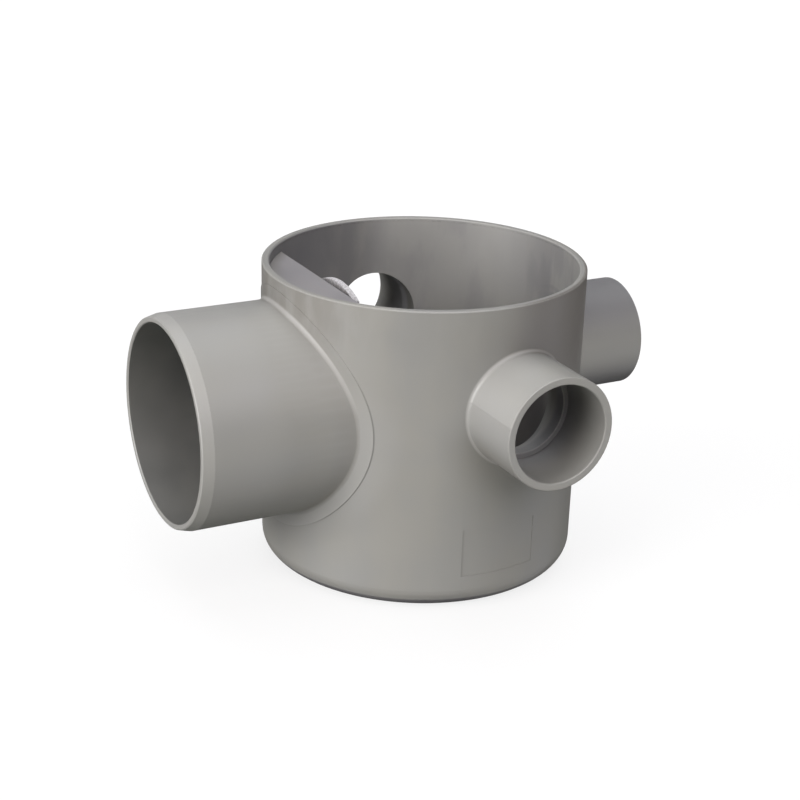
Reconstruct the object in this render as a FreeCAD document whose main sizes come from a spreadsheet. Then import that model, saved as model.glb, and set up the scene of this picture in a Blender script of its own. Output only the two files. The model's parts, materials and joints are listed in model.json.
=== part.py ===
import FreeCAD, Part
import math
import os

import Sketcher

# Floor drain: a moulded PVC gully body with one large outlet spigot and three like inlet
# sockets, and a lift-out trap hood that covers the outlet and dips into the water.
# Millimetres, +Z up, origin at the middle of the base. The outlet points along -X.

# Driving dimensions: name, millimetres, what it is
SIZES = [
    ("rim_bore_radius", 80.3, "inside of the open rim, for a 160 mm grate or riser"),
    ("body_wall", 3.9, "wall of the body"),
    ("base_wall", 4.2, "floor of the body"),
    ("side_draft", 0.8, "how much the radius shrinks from the rim down to the base"),
    ("base_corner_radius", 11.0, "rounded outer corner at the base"),
    ("rim_edge_break", 0.7, "small chamfer on the rim"),
    ("outlet_rise", 36.7, "base up to the underside of the outlet"),
    ("outlet_cover", 13.3, "top of the outlet up to the rim"),
    ("outlet_radius", 55.0, "outside of the outlet spigot, 110 mm pipe size"),
    ("outlet_wall", 4.2, "wall of the outlet spigot"),
    ("outlet_length", 60.8, "outlet spigot beyond the rim's outside"),
    ("outlet_lead_length", 5.9, "lead-in chamfer along the spigot"),
    ("outlet_lead_depth", 1.5, "lead-in chamfer across the spigot's wall"),
    ("outlet_root_radius", 2.4, "fillet where the outlet leaves the body"),
    ("outlet_root_land", 3.6, "rim's outside to the straight part of the outlet spigot"),
    ("outlet_root_draft", 0.4, "how much the outlet's root widens towards the middle of the body"),
    ("outlet_ring_width", 8.0, "moulded ring around the outlet's root, along the body's side"),
    ("outlet_ring_rise", 0.35, "how far that ring stands off the body's side"),
    ("inlet_cover", 24.8, "top of an inlet up to the rim"),
    ("inlet_socket_radius", 25.2, "inlet socket, for 50 mm pipe"),
    ("inlet_socket_depth", 33.5, "mouth of an inlet to its pipe stop"),
    ("inlet_stop_land", 2.8, "pipe stop beyond the rim's outside"),
    ("inlet_bore_radius", 22.5, "waterway behind the pipe stop"),
    ("inlet_wall", 4.0, "wall of an inlet socket"),
    ("inlet_shift", 11.5, "front and back inlets, off the middle and away from the outlet"),
    ("inlet_root_radius", 2.0, "fillet where an inlet leaves the body"),
    ("mouth_edge_break", 0.5, "small chamfer on the mouths of the ports"),
    ("panel_turn", -87.4, "degrees from +X round to the middle of the bare marking panel"),
    ("panel_width", 43.0, "marking panel, round the body's side"),
    ("panel_height", 25.5, "marking panel, from bottom to top"),
    ("panel_rise", 18.5, "base up to the marking panel"),
    ("panel_depth", 0.25, "how far the marking panel is sunk into the body's side"),
    ("hood_drop", 5.5, "rim down to the hood's roof"),
    ("hood_plate", 3.0, "plate of the hood"),
    ("hood_depth", 24.9, "wall over the outlet to the hood's straight edge"),
    ("hood_clearance", 0.3, "play between the hood and the body's wall"),
    ("dip_gap", 15.8, "waterway under the hood's dip wall"),
    ("ledge_width", 2.5, "seat under the hood, out from the wall"),
    ("ledge_height", 3.0, "seat under the hood, from top to bottom"),
    ("lip_slot", 4.9, "finger slot between the hood's edge and its grip lip"),
    ("lip_slot_depth", 9.0, "hood's roof down to the floor of the finger slot"),
    ("lip_plate", 3.3, "thickness of the grip lip"),
    ("lip_width", 40.0, "width of the grip lip"),
    ("lip_crown_radius", 45.0, "arch along the top of the grip lip"),
    ("lip_edge_radius", 0.6, "rounding of the grip lip's top edges"),
]

# Dimensions worked out from the driving ones
DERIVED = [
    ("rim_radius", "=rim_bore_radius + body_wall"),
    ("base_radius", "=rim_radius - side_draft"),
    ("overall_height", "=outlet_rise + 2 * outlet_radius + outlet_cover"),
    ("cavity_base_radius", "=rim_bore_radius - side_draft"),
    ("cavity_corner_radius", "=base_corner_radius - body_wall"),
    ("outlet_axis_height", "=outlet_rise + outlet_radius"),
    ("outlet_reach", "=rim_radius + outlet_length"),
    ("outlet_straight", "=rim_radius + outlet_root_land"),
    ("outlet_bore_radius", "=outlet_radius - outlet_wall"),
    ("inlet_radius", "=inlet_socket_radius + inlet_wall"),
    ("inlet_axis_height", "=overall_height - inlet_cover - inlet_radius"),
    ("inlet_stop", "=rim_radius + inlet_stop_land"),
    ("inlet_reach", "=inlet_stop + inlet_socket_depth"),
    ("roof_height", "=overall_height - hood_drop"),
    ("ledge_top", "=roof_height - hood_plate"),
    ("ledge_bottom", "=ledge_top - ledge_height"),
    ("ledge_radius", "=rim_bore_radius - ledge_width"),
    ("hood_edge", "=rim_bore_radius - hood_depth"),
    ("dip_height", "=base_wall + dip_gap"),
    ("lip_back", "=hood_edge - lip_slot"),
    ("lip_bottom", "=roof_height - lip_slot_depth - hood_plate"),
]

# Each port's direction: origin plane of its sketch, turn about +Z in degrees, height, sideways shift
PORTS = {
    "outlet": ("XZ_Plane", "180", "outlet_axis_height", None),
    "right_inlet": ("XZ_Plane", "0", "inlet_axis_height", None),
    "front_inlet": ("YZ_Plane", "180", "inlet_axis_height", "inlet_shift"),
    "back_inlet": ("YZ_Plane", "0", "inlet_axis_height", "inlet_shift"),
}
INLETS = [name for name in PORTS if name != "outlet"]

FULL_TURN = "360"
EDGE_SAMPLES = 9
NEAR = 0.01

doc = FreeCAD.newDocument("floor_drain")
sizes = doc.addObject("Spreadsheet::Sheet", "sizes")


def fill_sheet():
    """Puts the driving dimensions in the sheet as plain numbers, and the worked-out ones below them."""
    rows = [(name, str(value)) for name, value, _ in SIZES] + DERIVED
    for row, (name, content) in enumerate(rows, start=1):
        sizes.set(f"A{row}", name)
        sizes.set(f"B{row}", content)
        sizes.setAlias(f"B{row}", name)
    doc.recompute()


def size(name):
    """The value of one named dimension."""
    return float(sizes.get(name))


def cell(name):
    """The expression that reads one named dimension, or zero where there is none."""
    return f"sizes.{name}" if name else "0"


def angle_round(name):
    """The expression for the angle that a named width takes up round the body."""
    return f"1 rad * sizes.{name} / sizes.rim_radius"


def outline(body, name, role, corners, turn="0", height=None, shift=None):
    """A closed sketch of straight lines, turned about +Z. Each corner is a pair of expressions measured
    along the sketch's axes from its origin, and "0" keeps the corner on the other axis."""
    sketch = body.newObject("Sketcher::SketchObject", name)
    plane = next(plane for plane in body.Origin.OriginFeatures if plane.Role == role)
    sketch.AttachmentSupport = [(plane, "")]
    sketch.MapMode = "FlatFace"
    any_turn = FreeCAD.Rotation(FreeCAD.Vector(0, 1, 0), 180)
    sketch.AttachmentOffset = FreeCAD.Placement(FreeCAD.Vector(), any_turn)
    sketch.setExpression("AttachmentOffset.Rotation.Angle", turn)
    sketch.setExpression("AttachmentOffset.Base.y", cell(height))
    sketch.setExpression("AttachmentOffset.Base.z", cell(shift))
    points = [FreeCAD.Vector(sketch.evalExpression(x), sketch.evalExpression(y)) for x, y in corners]
    for start, end in zip(points, points[1:] + points[:1]):
        sketch.addGeometry(Part.LineSegment(start, end))
    for line, (corner, point) in enumerate(zip(corners, points)):
        previous = (line - 1) % len(corners)
        sketch.addConstraint(Sketcher.Constraint("Coincident", previous, 2, line, 1))
        for kind, axis, expression, value in (("DistanceX", -2, corner[0], point.x),
                                              ("DistanceY", -1, corner[1], point.y)):
            if expression == "0":
                sketch.addConstraint(Sketcher.Constraint("PointOnObject", line, 1, axis))
            else:
                index = sketch.addConstraint(Sketcher.Constraint(kind, -1, 1, line, 1, value))
                sketch.setExpression(f"Constraints[{index}]", expression)
    return sketch


def revolve(body, name, kind, sketch, axis, angle=FULL_TURN):
    """Adds (Revolution) or cuts (Groove) a turned shape about one of the sketch's own axes."""
    before = 0.0 if body.Shape.isNull() else body.Shape.Volume
    feature = body.newObject(f"PartDesign::{kind}", name)
    feature.Profile = sketch
    feature.ReferenceAxis = (sketch, [axis])
    feature.setExpression("Angle", angle)
    feature.Midplane = angle != FULL_TURN
    doc.recompute()
    grew = body.Shape.Volume > before
    if grew != (kind == "Revolution"):
        raise RuntimeError(f"{name} changed the volume the wrong way")


def dress(body, name, kind, measure, expression, test):
    """Rounds or breaks every edge of the body that passes the test."""
    base = body.Tip
    edges = [f"Edge{number}" for number, edge in enumerate(base.Shape.Edges, start=1)
             if all(test(point) for point in edge.discretize(EDGE_SAMPLES))]
    feature = body.newObject(f"PartDesign::{kind}", name)
    feature.Base = (base, edges)
    feature.setExpression(measure, expression)
    doc.recompute()


def port_place(name, point):
    """How far a point lies along a port, and how far from the port's axis."""
    role, turn, height, shift = PORTS[name]
    along, across = (point.x, point.y) if role == "XZ_Plane" else (point.y, point.x)
    aside = size(shift) if shift else 0.0
    return along if turn == "0" else -along, math.hypot(across - aside, point.z - size(height))


def root_radius(name, along):
    """A port's outside radius near the body. The outlet's widens a little inwards from its straight part."""
    if name != "outlet":
        return size("inlet_radius")
    return size("outlet_radius") + size("outlet_root_draft") * (1 - along / size("outlet_straight"))


def at_root(name, rise, point):
    """Whether a point is where a port's outside meets the body's side, or what stands off it by the rise."""
    along, away = port_place(name, point)
    side = size("base_radius") + size("side_draft") * point.z / size("overall_height") + rise
    on_side = abs(math.hypot(point.x, point.y) - side) < NEAR
    return along > 0 and on_side and abs(away - root_radius(name, along)) < NEAR


def at_mouth(name, reach, point):
    """Whether a point lies in the end face of a port."""
    along, away = port_place(name, point)
    return abs(along - size(reach)) < NEAR and away < size("outlet_radius")


def turn_port(body, name, kind, corners):
    """Turns one port, or cuts its waterway, about the port's own axis."""
    label = name if kind == "Revolution" else f"{name}_waterway"
    role, turn, height, shift = PORTS[name]
    sketch = outline(body, f"{label}_outline", role, corners, turn, height, shift)
    revolve(body, label, kind, sketch, "H_Axis")


def primitive(kind, name, **bound):
    """A simple shape whose sizes and place follow the named dimensions."""
    shape = doc.addObject(f"Part::{kind}", name)
    for path, expression in bound.items():
        shape.setExpression(path.replace("at_", "Placement.Base."), expression)
    return shape


def combine(kind, name, *pieces):
    """What two or more solids share, or make together."""
    result = doc.addObject(f"Part::{kind}", name)
    result.Shapes = list(pieces)
    result.Refine = True
    return result


def outlet_ring():
    """The ring around the outlet's root, still a solid plug. It is as wide along the body's side all
    round, so seen along the outlet it is an oval, and its face follows the body's draft."""
    skin = primitive("Cone", "ring_skin", Radius1="sizes.base_radius + sizes.outlet_ring_rise",
                     Radius2="sizes.rim_radius + sizes.outlet_ring_rise", Height=cell("overall_height"))
    root_angle, ring_angle = "asin(sizes.outlet_radius / sizes.rim_radius)", angle_round("outlet_ring_width")
    oval = primitive("Ellipse", "ring_oval", MajorRadius="sizes.outlet_radius + sizes.outlet_ring_width",
                     MinorRadius=f"sizes.rim_radius * sin({root_angle} + {ring_angle})",
                     at_z=cell("outlet_axis_height"))
    oval.Placement.Rotation = FreeCAD.Rotation(FreeCAD.Vector(0, 1, 0), -90)
    plug = primitive("Extrusion", "ring_plug", LengthFwd=cell("outlet_reach"))
    plug.Base = oval
    plug.DirMode = "Custom"
    plug.Dir = FreeCAD.Vector(-1, 0, 0)
    plug.Solid = True
    return combine("MultiCommon", "outlet_ring", skin, plug)


def add_cup(body):
    """The body's drafted outside with its rounded base, still solid."""
    corners = [("0", "0"), (cell("base_radius"), "0"), (cell("rim_radius"), cell("overall_height")),
               ("0", cell("overall_height"))]
    revolve(body, "cup", "Revolution", outline(body, "cup_outline", "XZ_Plane", corners), "V_Axis")
    dress(body, "base_corner", "Fillet", "Radius", cell("base_corner_radius"),
          lambda point: abs(point.z) < NEAR)


def add_ports(body):
    """The outlet spigot and the inlets, still solid, with the fillets at their roots."""
    reach, radius = cell("outlet_reach"), cell("outlet_radius")
    turn_port(body, "outlet", "Revolution",
              [("0", "0"), (reach, "0"), (reach, f"{radius} - sizes.outlet_lead_depth"),
               (f"{reach} - sizes.outlet_lead_length", radius), (cell("outlet_straight"), radius),
               ("0", f"{radius} + sizes.outlet_root_draft")])
    dress(body, "outlet_root", "Fillet", "Radius", cell("outlet_root_radius"),
          lambda point: at_root("outlet", size("outlet_ring_rise"), point))
    reach, radius = cell("inlet_reach"), cell("inlet_radius")
    for name in INLETS:
        turn_port(body, name, "Revolution", [("0", "0"), (reach, "0"), (reach, radius), ("0", radius)])
    dress(body, "inlet_roots", "Fillet", "Radius", cell("inlet_root_radius"),
          lambda point: any(at_root(name, 0.0, point) for name in INLETS))


def sink_panel(body):
    """The shallow bare panel on the side, where such mouldings carry their marking."""
    def side(height):
        return f"sizes.base_radius + sizes.side_draft * ({height}) / sizes.overall_height"

    bottom, top = cell("panel_rise"), "sizes.panel_rise + sizes.panel_height"
    clear = "sizes.rim_radius + sizes.body_wall"
    corners = [(f"{side(bottom)} - sizes.panel_depth", bottom), (clear, bottom),
               (clear, top), (f"{side(top)} - sizes.panel_depth", top)]
    sketch = outline(body, "panel_outline", "XZ_Plane", corners, cell("panel_turn"))
    revolve(body, "panel", "Groove", sketch, "V_Axis", angle_round("panel_width"))


def hollow_cup(body):
    """The body's inside, with a rounded corner at the floor."""
    floor, top = cell("base_wall"), cell("overall_height")
    corners = [("0", floor), (cell("cavity_base_radius"), floor), (cell("rim_bore_radius"), top), ("0", top)]
    revolve(body, "cavity", "Groove", outline(body, "cavity_outline", "XZ_Plane", corners), "V_Axis")
    dress(body, "cavity_corner", "Fillet", "Radius", cell("cavity_corner_radius"),
          lambda point: abs(point.z - size("base_wall")) < NEAR)


def hollow_ports(body):
    """The outlet's bore, and each inlet's socket with its pipe stop and waterway."""
    reach, radius = cell("outlet_reach"), cell("outlet_bore_radius")
    turn_port(body, "outlet", "Groove", [("0", "0"), (reach, "0"), (reach, radius), ("0", radius)])
    reach, stop = cell("inlet_reach"), cell("inlet_stop")
    socket, bore = cell("inlet_socket_radius"), cell("inlet_bore_radius")
    for name in INLETS:
        turn_port(body, name, "Groove",
                  [("0", "0"), (reach, "0"), (reach, socket), (stop, socket), (stop, bore), ("0", bore)])


def add_ledge(body):
    """The seat under the hood: a short rib around the wall over the outlet."""
    inside, outside = cell("ledge_radius"), "sizes.rim_bore_radius + sizes.body_wall / 2"
    bottom, top = cell("ledge_bottom"), cell("ledge_top")
    corners = [(inside, bottom), (outside, bottom), (outside, top), (inside, top)]
    sketch = outline(body, "ledge_outline", "XZ_Plane", corners, "180")
    clear_of_dip_wall = "2 * acos((sizes.hood_edge + 2 * sizes.hood_plate) / sizes.ledge_radius)"
    revolve(body, "ledge", "Revolution", sketch, "V_Axis", clear_of_dip_wall)


def break_edges(body):
    """Small chamfers on the rim and on the mouths of the ports."""
    dress(body, "rim_edges", "Chamfer", "Size", cell("rim_edge_break"),
          lambda point: abs(point.z - size("overall_height")) < NEAR)
    dress(body, "mouth_edges", "Chamfer", "Size", cell("mouth_edge_break"),
          lambda point: at_mouth("outlet", "outlet_reach", point)
          or any(at_mouth(name, "inlet_reach", point) for name in INLETS))


def drain_body():
    """The whole moulding."""
    body = doc.addObject("PartDesign::Body", "drain_body")
    body.BaseFeature = outlet_ring()
    doc.recompute()
    add_cup(body)
    add_ports(body)
    sink_panel(body)
    hollow_cup(body)
    hollow_ports(body)
    add_ledge(body)
    break_edges(body)
    return body


def hood_shell():
    """The hood's roof and dip wall, trimmed to the drafted wall of the body."""
    full_width = {"Width": "2 * sizes.rim_radius", "at_y": "-sizes.rim_radius"}
    roof = primitive("Box", "hood_roof", Length="sizes.rim_radius - sizes.hood_edge",
                     Height=cell("hood_plate"), at_x="-sizes.rim_radius", at_z=cell("ledge_top"),
                     **full_width)
    dip_wall = primitive("Box", "hood_dip_wall", Length=cell("hood_plate"),
                         Height="sizes.roof_height - sizes.dip_height",
                         at_x="-sizes.hood_edge - sizes.hood_plate", at_z=cell("dip_height"), **full_width)
    room = primitive("Cone", "hood_room", Radius1="sizes.cavity_base_radius - sizes.hood_clearance",
                     Radius2="sizes.rim_bore_radius - sizes.hood_clearance",
                     Height="sizes.overall_height - sizes.base_wall", at_z=cell("base_wall"))
    return combine("MultiCommon", "hood_trimmed", combine("MultiFuse", "hood_plates", roof, dip_wall), room)


def hood_lip():
    """The arched grip lip in front of the hood's edge, and the floor of the finger slot behind it."""
    lip_width = {"Width": cell("lip_width"), "at_y": "-sizes.lip_width / 2", "at_z": cell("lip_bottom")}
    blank = primitive("Box", "lip_blank", Length=cell("lip_plate"), Height=cell("lip_crown_radius"),
                      at_x="-sizes.lip_back", **lip_width)
    arch = primitive("Cylinder", "lip_arch", Radius=cell("lip_crown_radius"), Height=cell("lip_plate"),
                     at_x="-sizes.lip_back", at_z="sizes.roof_height - sizes.lip_crown_radius")
    arch.Placement.Rotation = FreeCAD.Rotation(FreeCAD.Vector(0, 1, 0), 90)
    slot_floor = primitive("Box", "slot_floor", Length=cell("lip_slot"), Height=cell("hood_plate"),
                           at_x="-sizes.hood_edge", **lip_width)
    return combine("MultiCommon", "lip", blank, arch), slot_floor


def trap_hood():
    """The lift-out hood as one moulding, with the lip's top edges rounded."""
    whole = combine("MultiFuse", "hood_whole", hood_shell(), *hood_lip())
    doc.recompute()
    arch_height = size("roof_height") - size("lip_crown_radius")
    rounding = size("lip_edge_radius")
    hood = doc.addObject("Part::Fillet", "trap_hood")
    hood.Base = whole
    hood.Edges = [(number, rounding, rounding) for number, edge in enumerate(whole.Shape.Edges, start=1)
                  if all(abs(math.hypot(point.y, point.z - arch_height) - size("lip_crown_radius")) < NEAR
                         for point in edge.discretize(EDGE_SAMPLES))]
    doc.recompute()
    return hood


def write_parts(nodes):
    """Checks the whole document, then writes one file for each sub-part."""
    for item in doc.Objects:
        if "Invalid" in item.State or "Error" in item.State:
            raise RuntimeError(f"{item.Name} did not build")
    for node in nodes:
        if node.Shape.isNull() or not node.Shape.isValid() or len(node.Shape.Solids) != 1:
            raise RuntimeError(f"{node.Label} is not one valid solid")
    os.makedirs("parts", exist_ok=True)
    for node in nodes:
        node.Shape.exportStep(f"parts/{node.Label}.step")
        print(node.Label, f"{node.Shape.Volume / 1000:.1f} cm3", node.Shape.BoundBox)


fill_sheet()
write_parts([drain_body(), trap_hood()])
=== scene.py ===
"""Floor drain moulded in grey plastic: the finishes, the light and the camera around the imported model.

Everything is in metres, in the model's own frame: the outlet points to -X and the rim faces up.
"""
import json
import math
from collections import namedtuple

import bpy
from mathutils import Matrix, Vector


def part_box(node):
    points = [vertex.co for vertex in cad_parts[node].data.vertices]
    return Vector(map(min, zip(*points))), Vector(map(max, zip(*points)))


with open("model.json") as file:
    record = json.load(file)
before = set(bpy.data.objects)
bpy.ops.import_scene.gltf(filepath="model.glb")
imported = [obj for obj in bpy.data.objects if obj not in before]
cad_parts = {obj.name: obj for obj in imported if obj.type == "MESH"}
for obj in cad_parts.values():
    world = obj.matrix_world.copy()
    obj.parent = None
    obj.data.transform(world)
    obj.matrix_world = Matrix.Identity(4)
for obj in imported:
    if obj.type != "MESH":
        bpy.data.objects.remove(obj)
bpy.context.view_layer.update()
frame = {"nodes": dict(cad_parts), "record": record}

Spot = namedtuple("Spot", "place x y z from_middle")
Pattern = namedtuple("Pattern", "scale detail stretch")
Bump = namedtuple("Bump", "strength height")
Tone = namedtuple("Tone", "depth grey")
Softbox = namedtuple("Softbox", "azimuth elevation width strength colour")

MILLIMETRE = 0.001
ORIGIN = (0.0, 0.0, 0.0)
UPWARD = (0.0, 0.0, 1.0)
WHITE = (1.0, 1.0, 1.0, 1.0)

# Places of a Mix node's sockets, by its kind: the first input, the second input and the output
MIX_SOCKETS = {"FLOAT": (2, 3, 0), "RGBA": (6, 7, 2)}

# Inlets, by the names of their mounts
INLETS = ("right_inlet_socket", "front_inlet_socket", "back_inlet_socket")
SEAMED_INLETS = ("front_inlet_socket", "back_inlet_socket")

# Walls of the moulding where its edges show
RIM_WALL = 3.9*MILLIMETRE
OUTLET_WALL = 4.2*MILLIMETRE
OUTLET_LEAD_LENGTH = 5.9*MILLIMETRE
OUTLET_LEAD_DROP = 1.5*MILLIMETRE
INLET_WALL = 4.0*MILLIMETRE
INLET_STOP_DEPTH = 33.5*MILLIMETRE
INLET_BORE = 22.5*MILLIMETRE

# Edges and skins: a pair says where a soft mask starts and where it is full
EDGE_WIDTH = 0.8*MILLIMETRE
EDGE_CORE = 0.2
RIM_SOFTNESS = 0.8*MILLIMETRE
UNDER_RIM = 1.0*MILLIMETRE
ABOVE_BASE = (1.5*MILLIMETRE, 2.5*MILLIMETRE)
END_FACE = (-0.6*MILLIMETRE, -0.1*MILLIMETRE)
LEAD_SOFTNESS = 0.3*MILLIMETRE
MOUTH_SOFTNESS = 1.0*MILLIMETRE
ON_OUTLET = (1.0*MILLIMETRE, 0.0)
OFF_OUTLET = (-0.3*MILLIMETRE, 0.5*MILLIMETRE)
OUTLET_ROOT_END = (2.0*MILLIMETRE, 1.0*MILLIMETRE)
ON_INLET = (1.5*MILLIMETRE, 0.5*MILLIMETRE)
INLET_SKIN = 0.5*MILLIMETRE
INLET_ROOT_START = (0.1*MILLIMETRE, 0.5*MILLIMETRE)
INLET_ROOT_END = (1.8*MILLIMETRE, 1.0*MILLIMETRE)

# The same as shares of a wall's thickness, unless a share says what it is of
BARREL_SKIN = (1.5, 1.0)
OUTLET_BEYOND = (-2.0, -1.0)
OUTLET_SKIN = (-0.7, -0.5)
OUTLET_BORE = (-0.7, -1.0)
INLET_BEYOND = (-1.0, 0.0)
SUMP_WALL = (0.85, 0.95)  # of the rim's inner radius
INLET_BORE_REACH = (-0.3, -1.0)  # of the depth of the pipe stop
OUTLET_PALE_END = 0.8  # of the outlet's reach

# Sides of the ports as shares of their radius, then the least and the most of the mask
OUTLET_TOP = (-0.1, 0.5)
OUTLET_SHADED_SIDE = (0.5, 0.0, 0.4, 1.0)
OUTLET_SHADE_START = (0.72, 0.90)  # of the barrel's radius
SHADE_BELOW_FALL = (0.0, -0.8)
RING_LOWER_PART = (0.7, 0.0)
INLET_UNDERSIDE = (-0.2, -0.9)
FRONT_INLET_SIDE = (0.3, -0.3)
RIGHT_INLET_SHADE = (0.1, 0.9)
RIGHT_INLET_HIGHLIGHT = (0.7, 0.1)
BACK_INLET_LIT_SIDE = (0.4, 0.9)

# Ring round the outlet's root: half its width and height, its painted shadow line, and its halo of painted
# light in ring radii
OUTLET_RING_OVAL = (60.8*MILLIMETRE, 63.0*MILLIMETRE)
SHADOW_LINE = 0.6*MILLIMETRE
SHADOW_LINE_CORE = 0.3
HALO_START = (0.99, 1.0)
HALO_END = (1.2, 1.0)

# Seam of the front and back inlets: heights from the seam, then the least and the most of the mask
INLET_SEAM_RISE = 7.5*MILLIMETRE
SEAM_LINE = (0.5*MILLIMETRE, 0.1*MILLIMETRE)
SEAM_STEP = (-0.4*MILLIMETRE, 0.4*MILLIMETRE, 0.45, 1.0)
ABOVE_SEAM = (4.0*MILLIMETRE, 18.0*MILLIMETRE, 1.0, 0.5)
BELOW_SEAM = (-22.0*MILLIMETRE, -6.0*MILLIMETRE)

# Marks of handling on the outside, and painted shade at the outlet's root, below the ports, at the foot
# and high on the wall
ROOT_SHADE = (14.0*MILLIMETRE, RIM_WALL/2)
SHADE_BELOW_REACH = (22.0*MILLIMETRE, 0.0)
FOOT_REACH = (14.0*MILLIMETRE, 0.0)
SCUFF_BELT = (-32.0*MILLIMETRE, -9.6*MILLIMETRE)
SCUFF_SIDE = (-55.0*MILLIMETRE, -80.0*MILLIMETRE, 0.12, 1.0)
SHADED_WALL_SIDE = (-5.0*MILLIMETRE, 25.0*MILLIMETRE)
SHADED_WALL_FRONT = (25.0*MILLIMETRE, -20.0*MILLIMETRE)
SHADED_WALL_RISE = (85.0*MILLIMETRE, 130.0*MILLIMETRE)

# Marks of use inside, with painted shade and painted light inside the sump
GRIME_DROP = 1.6*MILLIMETRE
GRIME_LINE = (0.5*MILLIMETRE, 0.1*MILLIMETRE)
TRAP_SIDE = (35.0*MILLIMETRE, -35.0*MILLIMETRE)
SHADED_SIDE_EDGE = (1.5*MILLIMETRE, 4.0*MILLIMETRE)
SHADED_SIDE_START = (0.0, 20.0*MILLIMETRE)
LIT_PATCH_SIDE = (5.0*MILLIMETRE, 48.0*MILLIMETRE)
LIT_PATCH_END = (-5.0*MILLIMETRE, 22.0*MILLIMETRE)
DEEP_SHADE_RISE = (95.0*MILLIMETRE, 55.0*MILLIMETRE)

# Hood: its grip lip, its top as heights from its highest point, its side along the wall and its foot
LIP_REACH = (-50.7*MILLIMETRE, -47.0*MILLIMETRE)
LIP_SOFTNESS = 0.5*MILLIMETRE
HOOD_TOP = (-14.0*MILLIMETRE, -10.0*MILLIMETRE)
HOOD_WALL_SHADE = (72.0*MILLIMETRE, 79.5*MILLIMETRE)
HOOD_FOOT = (1.0*MILLIMETRE, 0.0)

# Noise patterns: blots to the metre, detail, and a scale along X, Y and Z that draws out where it is small
EVEN = (1.0, 1.0, 1.0)
BODY_CLOUDS = Pattern(22.0, 3.0, EVEN)
HOOD_CLOUDS = Pattern(30.0, 3.0, EVEN)
UPRIGHT_STREAKS = Pattern(55.0, 4.0, (1.0, 1.0, 0.15))
OUTLET_STREAKS = Pattern(55.0, 4.0, (0.15, 1.0, 1.0))
SEAMED_INLET_STREAKS = Pattern(55.0, 4.0, (1.0, 0.15, 1.0))
HOOD_STREAKS = Pattern(55.0, 4.0, (1.0, 0.3, 1.0))
WATER_MARKS = Pattern(60.0, 5.0, (1.0, 1.0, 0.4))
LIGHT_PATCHES = Pattern(26.0, 4.0, (1.0, 1.0, 0.4))
SCUFFS = Pattern(110.0, 6.0, (1.0, 1.0, 0.3))
GRAIN = Pattern(900.0, 2.0, EVEN)
FINE_GRAIN = Pattern(1500.0, 1.0, EVEN)
RIPPLES = Pattern(40.0, 2.0, EVEN)

# How noise is cut into marks: where a mark starts and is full, then its least and its most
CLOUD_CUT = (0.3, 0.7)
SHADE_BLOTCH_CUT = (0.3, 0.7, 1.0, 0.6)
SHADED_SIDE_CUT = (0.3, 0.7, 1.0, 0.7)
WARMTH_CUT = (0.38, 0.62)
WATER_MARK_CUT = (0.46, 0.62)
LIGHT_PATCH_CUT = (0.32, 0.66, 0.5, 1.0)
SCUFF_CUT = (0.32, 0.64)
SPECK_CUT = (0.40, 0.65)
RUB_CUT = (0.35, 0.60, 0.5, 1.0)
LIP_CUT = (0.35, 0.65, 0.35, 1.0)
CLOUD_SHARE = 0.6
STREAK_SHARE = 0.4

# Greys of the plastic, as linear colour
BODY_GREY = (0.220, 0.219, 0.211, 1.0)
BODY_GREY_WARM = (0.233, 0.229, 0.213, 1.0)
# Painted shade inside and on the right inlet, and the water marks, go towards this grey
INSIDE_GREY = (0.148, 0.146, 0.153, 1.0)
# Painted shade in the outlet's bore goes towards this grey
BORE_SHADE_GREY = (0.142, 0.143, 0.138, 1.0)
# Painted light in the back inlet's bore goes towards this grey
BORE_LIGHT_GREY = (0.360, 0.362, 0.378, 1.0)
# Painted shade deep in the sump goes towards this grey
DEEP_SHADE_GREY = (0.085, 0.078, 0.086, 1.0)
# Painted shade high on the wall goes towards this grey
WALL_SHADE_GREY = (0.136, 0.124, 0.113, 1.0)
# Scuffs, and painted shade below and under the ports, at the foot, at the outlet's root and along the
# hood's side, go towards this grey
SCUFF_AND_SHADE_GREY = (0.165, 0.155, 0.140, 1.0)
SHADOW_GREY = (0.090, 0.088, 0.084, 1.0)
HOOD_GREY = (0.205, 0.198, 0.207, 1.0)
HOOD_GREY_WARM = (0.220, 0.211, 0.216, 1.0)
# The grip lip is painted this pale to stand in for the light that falls on it
LIP_GREY = (0.520, 0.510, 0.522, 1.0)
# Rubbed edges, trimmed ends and the hood's foot go towards this grey, and so does the painted light on the
# body
RUBBED_AND_LIT_GREY = (0.345, 0.342, 0.330, 1.0)

# Tones laid over the body's grey, in this order; all but the water marks, scuffs and rim grime are painted
# shade or light
BODY_TONES = {
    "shaded_inside": Tone(1.00, INSIDE_GREY),
    "outlet_bore_shade": Tone(1.00, BORE_SHADE_GREY),
    "shaded_side": Tone(0.42, INSIDE_GREY),
    "water_marks": Tone(0.50, INSIDE_GREY),
    "deep_shade": Tone(0.50, DEEP_SHADE_GREY),
    "lit_bore_side": Tone(1.00, BORE_LIGHT_GREY),
    "scuffs": Tone(0.65, SCUFF_AND_SHADE_GREY),
    "inlet_shade_below": Tone(0.45, SCUFF_AND_SHADE_GREY),
    "outlet_shadow_below": Tone(0.80, SHADOW_GREY),
    "inlet_underside_shade": Tone(0.45, SCUFF_AND_SHADE_GREY),
    "foot": Tone(0.55, SCUFF_AND_SHADE_GREY),
    "shaded_wall": Tone(0.75, WALL_SHADE_GREY),
    "right_inlet_shade": Tone(0.90, INSIDE_GREY),
    "outlet_root_shade": Tone(0.40, SCUFF_AND_SHADE_GREY),
    "ring_line": Tone(0.65, SHADOW_GREY),
    "rim_grime": Tone(0.50, SHADOW_GREY),
}

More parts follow.
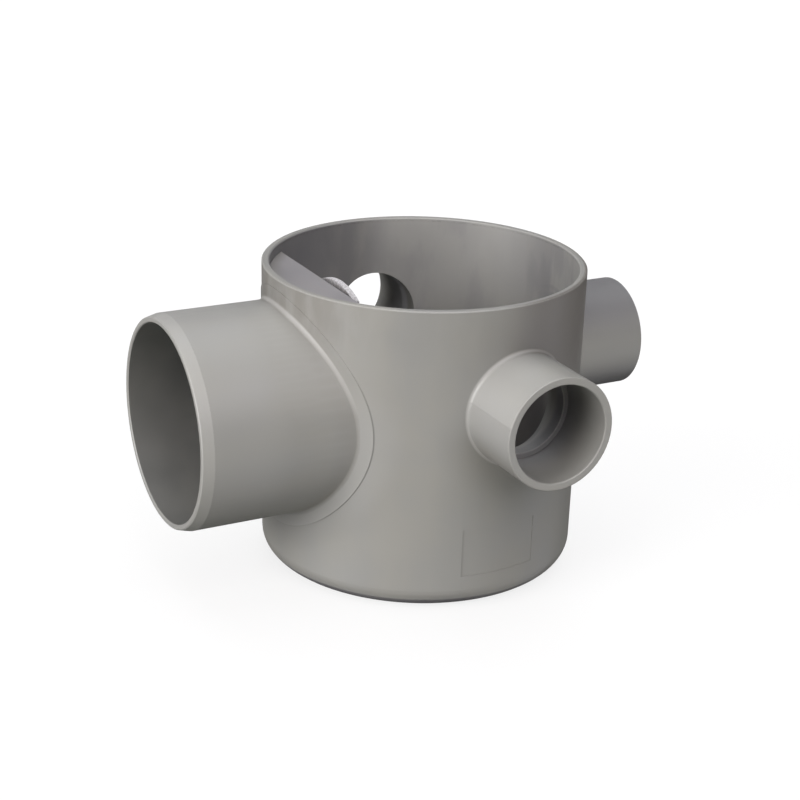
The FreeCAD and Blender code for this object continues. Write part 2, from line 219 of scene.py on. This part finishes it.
# Pale places of the body: how far each goes towards the rubbed and lit grey, the palest winning where they
# meet
# The root lines, the ring and its halo, the front inlet's side, the right inlet's middle and the patch
# inside the sump are painted light
BODY_PALE_PLACES = {
    "rubbed_edges": 0.45,
    "trimmed_ends": 0.35,
    "inlet_roots": 0.45,
    "outlet_root": 0.65,
    "outlet_ring": 0.42,
    "ring_halo": 0.30,
    "outlet_lead": 0.40,
    "outlet_end": 0.28,
    "front_inlet_side": 0.48,
    "right_inlet_highlight": 0.22,
    "seam": 0.40,
    "lit_patch": 0.55,
}

# Tones laid over the hood's grey, in this order
HOOD_TONES = {
    "lip": Tone(1.0, LIP_GREY),
    "shade_along_wall": Tone(0.6, SCUFF_AND_SHADE_GREY),
    "foot": Tone(0.4, RUBBED_AND_LIT_GREY),
}

# Gloss and bumps of the plastic
SATIN_ROUGHNESS = 0.46
SATIN_VARIATION = 0.07
PLASTIC_IOR = 1.53
RIPPLE_BUMP = Bump(0.25, 0.4*MILLIMETRE)
GRAIN_BUMP = Bump(0.3, 0.02*MILLIMETRE)
SEAM_BUMP = Bump(0.6, 0.12*MILLIMETRE)

# Camera, set from the photograph's own perspective
CAMERA_AZIMUTH = math.radians(-28.114)
CAMERA_ELEVATION = math.radians(21.374)
CAMERA_ROLL = math.radians(1.839)
CAMERA_DISTANCE = 0.969
CAMERA_AIM_HEIGHT = 0.080
CAMERA_AIM_SIDEWAYS = -0.01039
CAMERA_AIM_UPWARDS = 0.00165
SENSOR_WIDTH = 36.0
LENS = 81.73

# Soft studio lights round the drain, with angles in degrees; a matt light leaves no gleam on the plastic
LIGHTS = {
    "left_softbox": Softbox(184.0, 14.0, 44.0, 1.04, (1.0, 0.98, 0.99)),
    "left_high_softbox": Softbox(200.0, 42.0, 50.0, 0.24, (1.0, 0.95, 0.87)),
    "left_bounce": Softbox(180.0, -22.0, 50.0, 0.18, (0.97, 1.0, 0.97)),
    "front_softbox": Softbox(273.0, 42.0, 50.0, 0.57, (1.0, 0.96, 0.98)),
    "front_bounce": Softbox(268.0, -20.0, 60.0, 0.24, (1.0, 0.99, 0.88)),
    "top_softbox": Softbox(60.0, 78.0, 60.0, 0.57, (0.95, 0.98, 1.0)),
    "right_bounce": Softbox(330.0, -35.0, 60.0, 0.19, (0.91, 0.93, 1.0)),
    "back_softbox": Softbox(62.0, 4.0, 50.0, 1.00, (0.98, 0.96, 1.0)),
}
MATT_LIGHTS = ("back_softbox",)
SURROUND = 0.02

# Floor, a little below the base so that the two faces don't meet
FLOOR_RADIUS = 12.0
FLOOR_SIDES = 96
FLOOR_DROP = 0.2*MILLIMETRE
FLOOR_GREY = (0.17, 0.17, 0.17, 1.0)
FLOOR_GLOW = 0.79


def port(name):
    """A mount of the record: its middle, its direction and its radius, 0 where it has none, in metres."""
    for mount in frame["record"]["mounts"]:
        if mount["name"] == name:
            return Vector(mount["pos_m"]), Vector(mount["axis"]), mount["dims"].get("r_mm", 0.0)*MILLIMETRE
    raise ValueError("the record has no mount named " + name)


def add(tree, kind, values=None, **settings):
    """A new node with its settings and the values of its free sockets."""
    node = tree.nodes.new(kind)
    for setting, value in settings.items():
        setattr(node, setting, value)
    for socket, value in (values or {}).items():
        node.inputs[socket].default_value = value
    return node


def feed(tree, socket, value):
    """Links a socket to another node's output, or sets it to a plain value."""
    if isinstance(value, bpy.types.NodeSocket):
        tree.links.new(value, socket)
    else:
        socket.default_value = value


def noise(tree, place, pattern):
    """Soft cloudy noise from 0 to 1, in a pattern of its own."""
    mapping = add(tree, "ShaderNodeMapping", {"Scale": pattern.stretch})
    tree.links.new(place, mapping.inputs["Vector"])
    clouds = add(tree, "ShaderNodeTexNoise", {"Scale": pattern.scale, "Detail": pattern.detail})
    tree.links.new(mapping.outputs["Vector"], clouds.inputs["Vector"])
    return clouds.outputs["Fac"]


def spread(tree, source, start, end, low=0.0, high=1.0):
    """The source from start to end, spread smoothly from low to high and held beyond."""
    ramp = add(
        tree, "ShaderNodeMapRange",
        {"From Min": start, "From Max": end, "To Min": low, "To Max": high},
        interpolation_type="SMOOTHSTEP",
    )
    tree.links.new(source, ramp.inputs["Value"])
    return ramp.outputs["Result"]


def spread_past(tree, source, base, start, end, low=0.0, high=1.0, unit=1.0):
    """The same spread, with its start and its end measured from a base in shares of a unit."""
    return spread(tree, source, base + start*unit, base + end*unit, low, high)


def reckon(tree, operation, first, second=0.0):
    """One sum on two values; either may be a plain number."""
    node = add(tree, "ShaderNodeMath", operation=operation)
    feed(tree, node.inputs[0], first)
    feed(tree, node.inputs[1], second)
    return node.outputs["Value"]


def reckon_vector(tree, operation, first, second=ORIGIN, result="Vector"):
    """One sum on two vectors; either may be a plain vector."""
    node = add(tree, "ShaderNodeVectorMath", operation=operation)
    feed(tree, node.inputs[0], first)
    feed(tree, node.inputs[1], second)
    return node.outputs[result]


def gap(tree, source, value):
    """How far the source is from a value, on either side of it."""
    return reckon(tree, "ABSOLUTE", reckon(tree, "SUBTRACT", source, value))


def fade(tree, factor, first, second, kind="RGBA"):
    """One colour, or one value, fading into another; either may be plain."""
    mix = add(tree, "ShaderNodeMix", data_type=kind)
    first_socket, second_socket, result = MIX_SOCKETS[kind]
    tree.links.new(factor, mix.inputs["Factor"])
    feed(tree, mix.inputs[first_socket], first)
    feed(tree, mix.inputs[second_socket], second)
    return mix.outputs[result]


def most(tree, masks):
    """The strongest of several masks."""
    strongest = masks[0]
    for mask in masks[1:]:
        strongest = reckon(tree, "MAXIMUM", strongest, mask)
    return strongest


def overlap(tree, *masks):
    """Where several masks all hold."""
    shared = masks[0]
    for mask in masks[1:]:
        shared = reckon(tree, "MULTIPLY", shared, mask)
    return shared


def anywhere(tree, ports, name):
    """Where a mask holds on any one of several ports."""
    return most(tree, [masks[name] for masks in ports])


def around(tree, place, centre, direction):
    """How far a point is from an axis, and how far along it from the centre."""
    offset = reckon_vector(tree, "SUBTRACT", place, centre)
    along = reckon_vector(tree, "DOT_PRODUCT", offset, direction, "Value")
    across = reckon_vector(tree, "CROSS_PRODUCT", offset, direction)
    away = reckon_vector(tree, "LENGTH", across, result="Value")
    return away, along


def near_edges(tree, away, along, edges):
    """Soft masks along round edges, each given by its radius and where it is along its axis."""
    masks = []
    for radius, end in edges:
        distance = reckon(tree, "MAXIMUM", gap(tree, away, radius), gap(tree, along, end))
        masks.append(spread(tree, distance, EDGE_WIDTH, EDGE_CORE*EDGE_WIDTH))
    return masks


def whereabouts(tree, place):
    """A point of a node: its place, its X, Y and Z, and how far it is from the upright middle line."""
    parts = add(tree, "ShaderNodeSeparateXYZ")
    tree.links.new(place, parts.inputs["Vector"])
    from_middle, _ = around(tree, place, ORIGIN, UPWARD)
    return Spot(place, parts.outputs["X"], parts.outputs["Y"], parts.outputs["Z"], from_middle)


def rim_masks(tree, spot):
    """The rim's edges and grime, the sump and its wall, all the outside, the barrel and its upper belt."""
    middle, _, _ = port("rim_face")
    inner = middle.x - RIM_WALL/2
    outer = middle.x + RIM_WALL/2
    top = middle.z
    within = spread_past(tree, spot.from_middle, middle.x, 0.0, -RIM_SOFTNESS)
    outside = spread_past(tree, spot.from_middle, middle.x, 0.0, RIM_SOFTNESS)
    under_rim = spread_past(tree, spot.z, top, 0.0, -UNDER_RIM)
    sump = overlap(tree, within, under_rim, spread(tree, spot.z, *ABOVE_BASE))
    skin = spread_past(tree, spot.from_middle, middle.x, *BARREL_SKIN, unit=RIM_WALL)
    barrel = overlap(tree, outside, skin)
    return {
        "edges": near_edges(tree, spot.from_middle, spot.z, ((inner, top), (outer, top))),
        "grime": overlap(tree, within, spread(tree, gap(tree, spot.z, top - GRIME_DROP), *GRIME_LINE)),
        "sump": sump,
        "sump_wall": overlap(tree, sump, spread_past(tree, spot.from_middle, 0.0, *SUMP_WALL, unit=inner)),
        "outside": outside,
        "barrel": barrel,
        "belt": overlap(tree, barrel, under_rim, spread_past(tree, spot.z, top, *SCUFF_BELT)),
    }


def ring_masks(tree, spot, this_side, off_pipe):
    """The lower part of the ring round the outlet's root and its halo, where light is painted, and the
    painted shadow line along it.
    """
    middle, _, radius = port("outlet_spigot")
    half_width, half_height = OUTLET_RING_OVAL
    offset = reckon_vector(tree, "SUBTRACT", spot.place, (0.0, middle.y, middle.z))
    oval = reckon_vector(tree, "MULTIPLY", offset, (0.0, 1.0/half_width, 1.0/half_height))
    share = reckon_vector(tree, "LENGTH", oval, result="Value")
    half_line = SHADOW_LINE/2/half_height
    low_down = overlap(tree, this_side, spread_past(tree, spot.z, middle.z, *RING_LOWER_PART, unit=radius))
    near_line = spread(tree, gap(tree, share, 1.0), half_line, SHADOW_LINE_CORE*half_line)
    return {
        "ring": overlap(tree, low_down, off_pipe, spread(tree, share, 1.0, 1.0 - half_line)),
        "halo": overlap(tree, low_down, spread(tree, share, *HALO_END), spread(tree, share, *HALO_START)),
        "line": overlap(tree, low_down, near_line),
    }


def outlet_masks(tree, spot):
    """The outlet's edges, end face, lead-in, bore, pipe, root, root shade, outer end, the painted shadow
    below it and ring.
    """
    middle, direction, radius = port("outlet_spigot")
    wall = port("rim_face")[0].x
    reach = -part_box("drain_body")[0][0]
    away, along = around(tree, spot.place, (0.0, middle.y, middle.z), direction)
    edges = (
        (radius - OUTLET_WALL, reach),
        (radius - OUTLET_LEAD_DROP, reach),
        (radius, reach - OUTLET_LEAD_LENGTH),
    )
    this_side = spread(tree, along, 0.0, wall/2)
    beyond = spread_past(tree, along, wall, *OUTLET_BEYOND, unit=RIM_WALL)
    skin = spread_past(tree, away, radius, *OUTLET_SKIN, unit=OUTLET_WALL)
    on_pipe = overlap(tree, skin, spread_past(tree, away, radius, *ON_OUTLET))
    off_pipe = spread_past(tree, away, radius, *OFF_OUTLET)
    high_up = spread_past(tree, spot.z, middle.z, *OUTLET_TOP, unit=radius)
    return {
        "edges": near_edges(tree, away, along, edges),
        "face": overlap(tree, beyond, spread_past(tree, along, reach, *END_FACE)),
        "lead": overlap(
            tree, skin, spread_past(tree, along, reach - OUTLET_LEAD_LENGTH, -LEAD_SOFTNESS, 0.0),
        ),
        "bore": overlap(
            tree, beyond, spread_past(tree, away, radius, *OUTLET_BORE, unit=OUTLET_WALL),
            spread_past(tree, along, reach, 0.0, -MOUTH_SOFTNESS),
        ),
        "pipe": overlap(tree, on_pipe, beyond),
        # The upper side of the outlet's root line, where a highlight is painted
        "root": overlap(
            tree, this_side, off_pipe, high_up, spread_past(tree, away, radius, *OUTLET_ROOT_END),
        ),
        "root_shade": overlap(
            tree, on_pipe, this_side, spread_past(tree, spot.from_middle, wall, *ROOT_SHADE),
            spread_past(tree, spot.z, middle.z, *OUTLET_SHADED_SIDE, unit=radius),
        ),
        "outer_end": overlap(tree, skin, spread(tree, along, wall, OUTLET_PALE_END*reach)),
        "shade_below": overlap(
            tree, this_side, off_pipe, spread_past(tree, away, radius, *SHADE_BELOW_REACH),
            spread_past(tree, along, 0.0, *OUTLET_SHADE_START, unit=wall),
            spread_past(tree, spot.z, middle.z, *SHADE_BELOW_FALL, unit=radius),
        ),
        **ring_masks(tree, spot, this_side, off_pipe),
    }


def inlet_masks(tree, spot, name):
    """An inlet's edges, end face, bore, root, pipe and its underside, and the painted shade on the wall
    below.
    """
    middle, direction, radius = port(name)
    wall = port("rim_face")[0].x
    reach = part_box("drain_body")[1][0]
    outer = radius + INLET_WALL
    foot = middle - direction*middle.dot(direction)
    away, along = around(tree, spot.place, tuple(foot), direction)
    edges = (
        (radius, reach),
        (outer, reach),
        (INLET_BORE, reach - INLET_STOP_DEPTH),
    )
    this_side = spread(tree, along, 0.0, wall/2)
    beyond = spread_past(tree, along, wall, *INLET_BEYOND, unit=RIM_WALL)
    skin = spread(tree, away, radius + INLET_WALL/2, outer - INLET_SKIN)
    pipe = overlap(tree, beyond, skin, spread_past(tree, away, outer, *ON_INLET))
    return {
        "edges": near_edges(tree, away, along, edges),
        "face": overlap(tree, beyond, spread_past(tree, along, reach, *END_FACE)),
        "bore": overlap(
            tree, beyond, spread_past(tree, away, radius, INLET_WALL/2, 0.0),
            spread_past(tree, along, reach, *INLET_BORE_REACH, unit=INLET_STOP_DEPTH),
        ),
        # The root line, where a highlight is painted
        "root": overlap(
            tree, this_side, spread_past(tree, away, outer, *INLET_ROOT_START),
            spread_past(tree, away, outer, *INLET_ROOT_END),
        ),
        "pipe": pipe,
        "underside": overlap(
            tree, pipe, spread_past(tree, spot.z, middle.z, *INLET_UNDERSIDE, unit=outer),
        ),
        "shade_below": overlap(
            tree, this_side, spread_past(tree, away, outer, -INLET_SKIN, 0.0),
            spread_past(tree, away, outer, *SHADE_BELOW_REACH),
            spread_past(tree, spot.z, middle.z, *SHADE_BELOW_FALL, unit=outer),
        ),
    }


def start_plastic(name):
    """A material with its tree, its shader and the position it is painted by."""
    material = bpy.data.materials.new(name)
    material.use_nodes = True
    tree = material.node_tree
    shader = tree.nodes["Principled BSDF"]
    shader.inputs["IOR"].default_value = PLASTIC_IOR
    place = add(tree, "ShaderNodeTexCoord").outputs["Object"]
    return material, tree, shader, place


def cloud_colour(tree, grey, warm_grey, clouds, streaks):
    """The plastic's own grey, clouded and streaked towards a warmer one."""
    clouded = reckon(tree, "MULTIPLY", clouds, CLOUD_SHARE)
    streaked = reckon(tree, "MULTIPLY", streaks, STREAK_SHARE)
    warmth = spread(tree, reckon(tree, "ADD", clouded, streaked), *WARMTH_CUT)
    return fade(tree, warmth, grey, warm_grey)


def lay_tones(tree, colour, tones, masks):
    """A colour with tones laid over it one after the other, each where its mask is."""
    for name, tone in tones.items():
        colour = fade(tree, reckon(tree, "MULTIPLY", masks[name], tone.depth), colour, tone.grey)
    return colour


def finish_surface(tree, shader, place, clouds, seam=None):
    """Satin gloss, soft ripples and a fine grain, with a raised line where a seam is given."""
    least = SATIN_ROUGHNESS - SATIN_VARIATION
    greatest = SATIN_ROUGHNESS + SATIN_VARIATION
    tree.links.new(spread(tree, clouds, *CLOUD_CUT, least, greatest), shader.inputs["Roughness"])
    layers = [
        (noise(tree, place, RIPPLES), RIPPLE_BUMP),
        (noise(tree, place, FINE_GRAIN), GRAIN_BUMP),
    ]
    if seam is not None:
        layers.append((seam, SEAM_BUMP))
    normal = None
    for relief, size in layers:
        bump = add(tree, "ShaderNodeBump", {"Strength": size.strength, "Distance": size.height})
        tree.links.new(relief, bump.inputs["Height"])
        if normal is not None:
            tree.links.new(normal, bump.inputs["Normal"])
        normal = bump.outputs["Normal"]
    tree.links.new(normal, shader.inputs["Normal"])


def body_streaks(tree, place, outlet, inlets):
    """Faint streaks of the plastic's flow: up the wall, and lengthwise along the outlet and each inlet."""
    lengthwise = anywhere(tree, (outlet, inlets["right_inlet_socket"]), "pipe")
    crosswise = anywhere(tree, [inlets[name] for name in SEAMED_INLETS], "pipe")
    streaks = noise(tree, place, UPRIGHT_STREAKS)
    streaks = fade(tree, lengthwise, streaks, noise(tree, place, OUTLET_STREAKS), "FLOAT")
    return fade(tree, crosswise, streaks, noise(tree, place, SEAMED_INLET_STREAKS), "FLOAT")


def seam_height():
    """The height of the seam along the front and back inlets."""
    return port("front_inlet_socket")[0].z + INLET_SEAM_RISE


def inlet_seam(tree, spot, inlets):
    """The fine seam that the mould left along the front and back inlets."""
    pipes = anywhere(tree, [inlets[name] for name in SEAMED_INLETS], "pipe")
    return overlap(tree, pipes, spread(tree, gap(tree, spot.z, seam_height()), *SEAM_LINE))


def sump_marks(tree, spot, rim, inlets, clouds):
    """Inside: painted shade in blotches, on one side and deep down, water marks and a painted patch of
    light.
    """
    by_trap = overlap(tree, rim["sump"], spread(tree, spot.x, *TRAP_SIDE))
    shaded = most(tree, [by_trap, anywhere(tree, inlets.values(), "bore")])
    shaded_side = overlap(
        tree, rim["sump_wall"], spread(tree, spot.x, *SHADED_SIDE_START),
        spread(tree, spot.y, *SHADED_SIDE_EDGE), spread(tree, spot.y, *reversed(LIT_PATCH_SIDE)),
    )
    water_marks = spread(tree, noise(tree, spot.place, WATER_MARKS), *WATER_MARK_CUT)
    patches = spread(tree, noise(tree, spot.place, LIGHT_PATCHES), *LIGHT_PATCH_CUT)
    return {
        # Painted shade in blotches inside the sump on the trap's side and in the inlets' bores
        "shaded_inside": overlap(tree, shaded, spread(tree, clouds, *SHADE_BLOTCH_CUT)),
        # Painted shade in blotches on one side of the sump's wall
        "shaded_side": overlap(tree, shaded_side, spread(tree, clouds, *SHADED_SIDE_CUT)),
        "water_marks": overlap(tree, rim["sump_wall"], water_marks),
        # Painted shade, darker towards the bottom of the sump
        "deep_shade": overlap(tree, rim["sump"], spread(tree, spot.z, *DEEP_SHADE_RISE)),
        # A painted patch of light on the sump's wall
        "lit_patch": overlap(
            tree, rim["sump_wall"], patches,
            spread(tree, spot.x, *LIT_PATCH_END), spread(tree, spot.y, *LIT_PATCH_SIDE),
        ),
    }


def barrel_marks(tree, spot, rim, grain):
    """Marks of the barrel: scuffs below the rim and grime inside the rim, with painted shade high on the
    wall and at the foot.
    """
    scuffs = spread(tree, noise(tree, spot.place, SCUFFS), *SCUFF_CUT)
    return {
        "scuffs": overlap(tree, rim["belt"], scuffs, spread(tree, spot.x, *SCUFF_SIDE)),
        # Painted shade, darker towards the foot of the barrel
        "foot": overlap(tree, rim["outside"], spread(tree, spot.z, *FOOT_REACH)),
        # Painted shade high on the front right of the wall
        "shaded_wall": overlap(
            tree, rim["barrel"], spread(tree, spot.x, *SHADED_WALL_SIDE),
            spread(tree, spot.y, *SHADED_WALL_FRONT), spread(tree, spot.z, *SHADED_WALL_RISE),
        ),
        "rim_grime": overlap(tree, rim["grime"], spread(tree, grain, *SPECK_CUT)),
    }


def outlet_marks(tree, rim, outlet, clouds):
    """Painted shade in the outlet's bore, below it, at its root and on its ring line, painted light on its
    root line, ring and halo, and its pale lead and end.
    """
    return {
        # Painted shade in blotches inside the outlet's bore
        "outlet_bore_shade": overlap(tree, outlet["bore"], spread(tree, clouds, *SHADE_BLOTCH_CUT)),
        # Painted shadow on the wall below the outlet
        "outlet_shadow_below": overlap(tree, outlet["shade_below"], rim["outside"]),
        # A painted highlight on the upper side of the outlet's root
        "outlet_root": overlap(tree, outlet["root"], rim["outside"]),
        "outlet_root_shade": outlet["root_shade"],
        "outlet_lead": outlet["lead"],
        "outlet_end": outlet["outer_end"],
        # Painted light on the ring's lower part and in a halo outside it; the ring line below is a painted
        # shadow
        "outlet_ring": outlet["ring"],
        "ring_halo": outlet["halo"],
        "ring_line": outlet["line"],
    }


def front_inlet_side(tree, spot, pipe):
    """The front inlet's side towards the outlet, with light painted on it, palest just above the seam."""
    middle, _, radius = port("front_inlet_socket")
    return overlap(
        tree, pipe, spread_past(tree, spot.x, middle.x, *FRONT_INLET_SIDE, unit=radius),
        spread_past(tree, spot.z, seam_height(), *SEAM_STEP),
        spread_past(tree, spot.z, seam_height(), *ABOVE_SEAM),
        spread_past(tree, spot.z, seam_height(), *BELOW_SEAM),
    )


def lit_bore_side(tree, spot, bore):
    """The side of the back inlet's bore that is away from the outlet, with pale light painted on it."""
    middle, _, radius = port("back_inlet_socket")
    return overlap(tree, bore, spread_past(tree, spot.x, middle.x, *BACK_INLET_LIT_SIDE, unit=radius))


def inlet_marks(tree, spot, rim, inlets):
    """Marks of the inlets: painted shade below and under all three, painted highlights on their roots, and
    what each has of its own.
    """
    middle, _, radius = port("right_inlet_socket")
    right_pipe = inlets["right_inlet_socket"]["pipe"]
    off_axis = gap(tree, spot.z, middle.z)
    shaded_off_middle = spread_past(tree, off_axis, 0.0, *RIGHT_INLET_SHADE, unit=radius)
    highlight_band = spread_past(tree, off_axis, 0.0, *RIGHT_INLET_HIGHLIGHT, unit=radius)
    return {
        # Painted shade on the wall below each inlet
        "inlet_shade_below": overlap(tree, anywhere(tree, inlets.values(), "shade_below"), rim["outside"]),
        # Painted shade on the underside of each inlet
        "inlet_underside_shade": anywhere(tree, inlets.values(), "underside"),
        # A painted highlight along each inlet's root
        "inlet_roots": overlap(tree, anywhere(tree, inlets.values(), "root"), rim["outside"]),
        "front_inlet_side": front_inlet_side(tree, spot, inlets["front_inlet_socket"]["pipe"]),
        "lit_bore_side": lit_bore_side(tree, spot, inlets["back_inlet_socket"]["bore"]),
        # Painted shade on the right inlet, darker away from its middle height
        "right_inlet_shade": overlap(tree, right_pipe, shaded_off_middle),
        # A painted highlight along the right inlet's middle height
        "right_inlet_highlight": overlap(tree, right_pipe, highlight_band),
    }


def rubbed_marks(tree, rim, outlet, inlets, grain):
    """Rubbed edges all over the body, and the trimmed ends of its ports."""
    ports = [outlet, *inlets.values()]
    edges = rim["edges"] + [edge for masks in ports for edge in masks["edges"]]
    return {
        "rubbed_edges": overlap(tree, most(tree, edges), spread(tree, grain, *RUB_CUT)),
        "trimmed_ends": anywhere(tree, ports, "face"),
    }


def make_body_plastic():
    """Grey of the body: clouded and streaked, with painted shade inside and in its corners, pale where it
    is rubbed and where light is painted.
    """
    material, tree, shader, place = start_plastic("body_plastic")
    spot = whereabouts(tree, place)
    clouds = noise(tree, place, BODY_CLOUDS)
    grain = noise(tree, place, GRAIN)
    rim = rim_masks(tree, spot)
    outlet = outlet_masks(tree, spot)
    inlets = {name: inlet_masks(tree, spot, name) for name in INLETS}
    seam = inlet_seam(tree, spot, inlets)
    masks = {
        "seam": seam,
        **sump_marks(tree, spot, rim, inlets, clouds),
        **barrel_marks(tree, spot, rim, grain),
        **outlet_marks(tree, rim, outlet, clouds),
        **inlet_marks(tree, spot, rim, inlets),
        **rubbed_marks(tree, rim, outlet, inlets, grain),
    }
    streaks = body_streaks(tree, place, outlet, inlets)
    colour = cloud_colour(tree, BODY_GREY, BODY_GREY_WARM, clouds, streaks)
    colour = lay_tones(tree, colour, BODY_TONES, masks)
    pale = [reckon(tree, "MULTIPLY", masks[name], amount) for name, amount in BODY_PALE_PLACES.items()]
    colour = fade(tree, most(tree, pale), colour, RUBBED_AND_LIT_GREY)
    tree.links.new(colour, shader.inputs["Base Color"])
    finish_surface(tree, shader, place, clouds, seam)
    return material


def make_hood_plastic():
    """Grey of the hood: a cooler tone than the body's, with painted light on a pale speckled grip lip and
    painted shade along the wall.
    """
    material, tree, shader, place = start_plastic("hood_plastic")
    spot = whereabouts(tree, place)
    clouds = noise(tree, place, HOOD_CLOUDS)
    grain = noise(tree, place, GRAIN)
    low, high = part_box("trap_hood")
    lip_start, lip_end = LIP_REACH
    near_top = spread_past(tree, spot.z, high[2], *HOOD_TOP)
    masks = {
        # Painted light on the grip lip, in pale specks
        "lip": overlap(
            tree, near_top, spread_past(tree, spot.x, lip_start, -LIP_SOFTNESS, 0.0),
            spread_past(tree, spot.x, lip_end, LIP_SOFTNESS, 0.0), spread(tree, grain, *LIP_CUT),
        ),
        # Painted shade along the hood's side by the wall
        "shade_along_wall": overlap(tree, near_top, spread(tree, spot.from_middle, *HOOD_WALL_SHADE)),
        "foot": spread_past(tree, spot.z, low[2], *HOOD_FOOT),
    }
    streaks = noise(tree, place, HOOD_STREAKS)
    colour = cloud_colour(tree, HOOD_GREY, HOOD_GREY_WARM, clouds, streaks)
    colour = lay_tones(tree, colour, HOOD_TONES, masks)
    tree.links.new(colour, shader.inputs["Base Color"])
    finish_surface(tree, shader, place, clouds)
    return material


def dress(node, material):
    """Gives a node of the model its finish."""
    for slot in frame["nodes"][node].material_slots:
        slot.material = material


def lay_floor():
    """A wide pale floor, which takes soft shadows and throws no light back."""
    bpy.ops.mesh.primitive_circle_add(
        vertices=FLOOR_SIDES, radius=FLOOR_RADIUS, fill_type="NGON", location=(0.0, 0.0, -FLOOR_DROP),
    )
    floor = bpy.context.object
    floor.name = "floor"
    material = bpy.data.materials.new("pale_floor")
    material.use_nodes = True
    shader = material.node_tree.nodes["Principled BSDF"]
    shader.inputs["Base Color"].default_value = FLOOR_GREY
    shader.inputs["Roughness"].default_value = 1.0
    shader.inputs["Specular IOR Level"].default_value = 0.0
    shader.inputs["Emission Color"].default_value = WHITE
    shader.inputs["Emission Strength"].default_value = FLOOR_GLOW
    floor.data.materials.append(material)
    floor.visible_diffuse = False
    floor.visible_glossy = False
    floor.visible_shadow = False


def hang_lights():
    """The soft lights round the drain, each turned towards it."""
    for name, softbox in LIGHTS.items():
        lamp = bpy.data.lights.new(name, "SUN")
        # A sun of energy pi lights a white face to full white
        lamp.energy = softbox.strength*math.pi
        lamp.angle = math.radians(softbox.width)
        lamp.color = softbox.colour
        light = bpy.data.objects.new(name, lamp)
        tilt = math.radians(90.0 - softbox.elevation)
        light.rotation_euler = (tilt, 0.0, math.radians(softbox.azimuth + 90.0))
        light.visible_glossy = name not in MATT_LIGHTS
        bpy.context.scene.collection.objects.link(light)


def set_surround():
    """A faint even surround, which the camera sees as white."""
    world = bpy.data.worlds.new("studio")
    world.use_nodes = True
    bpy.context.scene.world = world
    tree = world.node_tree
    surround = tree.nodes["Background"]
    surround.inputs["Color"].default_value = WHITE
    surround.inputs["Strength"].default_value = SURROUND
    backdrop = add(tree, "ShaderNodeBackground", {"Color": WHITE, "Strength": 1.0})
    rays = add(tree, "ShaderNodeLightPath")
    seen = add(tree, "ShaderNodeMixShader")
    tree.links.new(rays.outputs["Is Camera Ray"], seen.inputs["Fac"])
    tree.links.new(surround.outputs["Background"], seen.inputs[1])
    tree.links.new(backdrop.outputs["Background"], seen.inputs[2])
    tree.links.new(seen.outputs["Shader"], tree.nodes["World Output"].inputs["Surface"])


def place_camera():
    """The camera at the photograph's viewing angle, with its slight roll."""
    camera = bpy.data.objects.new("camera", bpy.data.cameras.new("camera"))
    camera.data.sensor_width = SENSOR_WIDTH
    camera.data.lens = LENS
    back = Vector((
        math.sin(CAMERA_AZIMUTH)*math.cos(CAMERA_ELEVATION),
        -math.cos(CAMERA_AZIMUTH)*math.cos(CAMERA_ELEVATION),
        math.sin(CAMERA_ELEVATION),
    ))
    right = Vector((math.cos(CAMERA_AZIMUTH), math.sin(CAMERA_AZIMUTH), 0.0))
    up = back.cross(right)
    target = Vector((0.0, 0.0, CAMERA_AIM_HEIGHT)) + right*CAMERA_AIM_SIDEWAYS + up*CAMERA_AIM_UPWARDS
    turned = Matrix((right, up, back)).transposed() @ Matrix.Rotation(CAMERA_ROLL, 3, "Z")
    camera.matrix_world = Matrix.Translation(target + back*CAMERA_DISTANCE) @ turned.to_4x4()
    bpy.context.scene.collection.objects.link(camera)
    bpy.context.scene.camera = camera


dress("drain_body", make_body_plastic())
dress("trap_hood", make_hood_plastic())
lay_floor()
hang_lights()
set_surround()
place_camera()
bpy.context.scene.view_settings.view_transform = "Standard"
